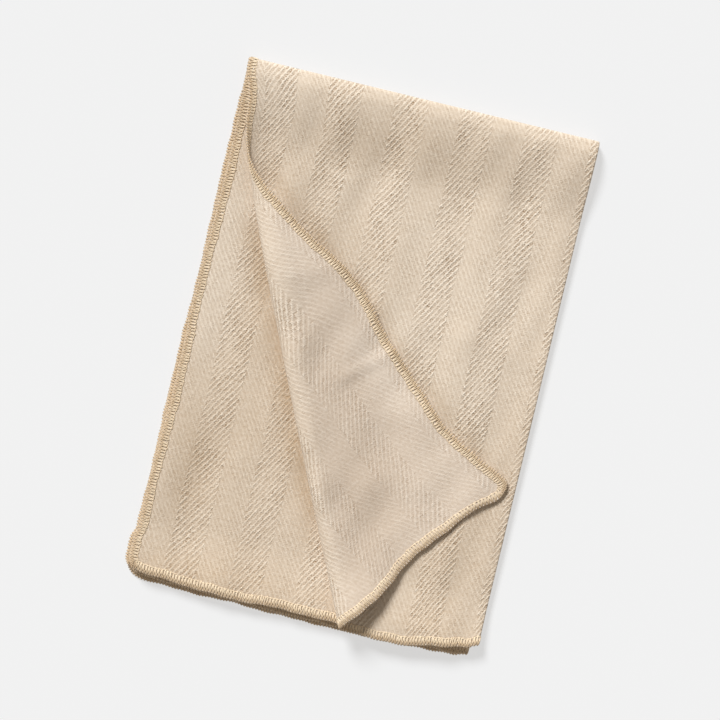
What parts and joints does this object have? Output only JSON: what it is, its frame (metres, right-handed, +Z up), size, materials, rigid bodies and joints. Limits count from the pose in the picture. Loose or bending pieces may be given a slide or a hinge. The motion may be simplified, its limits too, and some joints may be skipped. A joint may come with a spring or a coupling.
{
  "type": "folded kitchen towel",
  "caption": "Rectangular linen kitchen towel folded in quarters and laid flat, with overlocked edges and the top layer's lower corner turned over in a soft roll.",
  "frame": {"origin": "middle of the folded towel's outline, on the surface that it lies on", "axes": "+X to the right across the folded towel, +Y up to its top fold, +Z up through its layers"},
  "size_m": [0.2558, 0.3804, 0.0242],
  "materials": {
    "linen_cloth": "matt natural linen in a coarse herringbone weave",
    "overlock_thread": "tan and cream overlock thread along the hems"
  },
  "bodies": {
    "root": {"towel_cloth": "linen_cloth"}
  },
  "joints": []
}
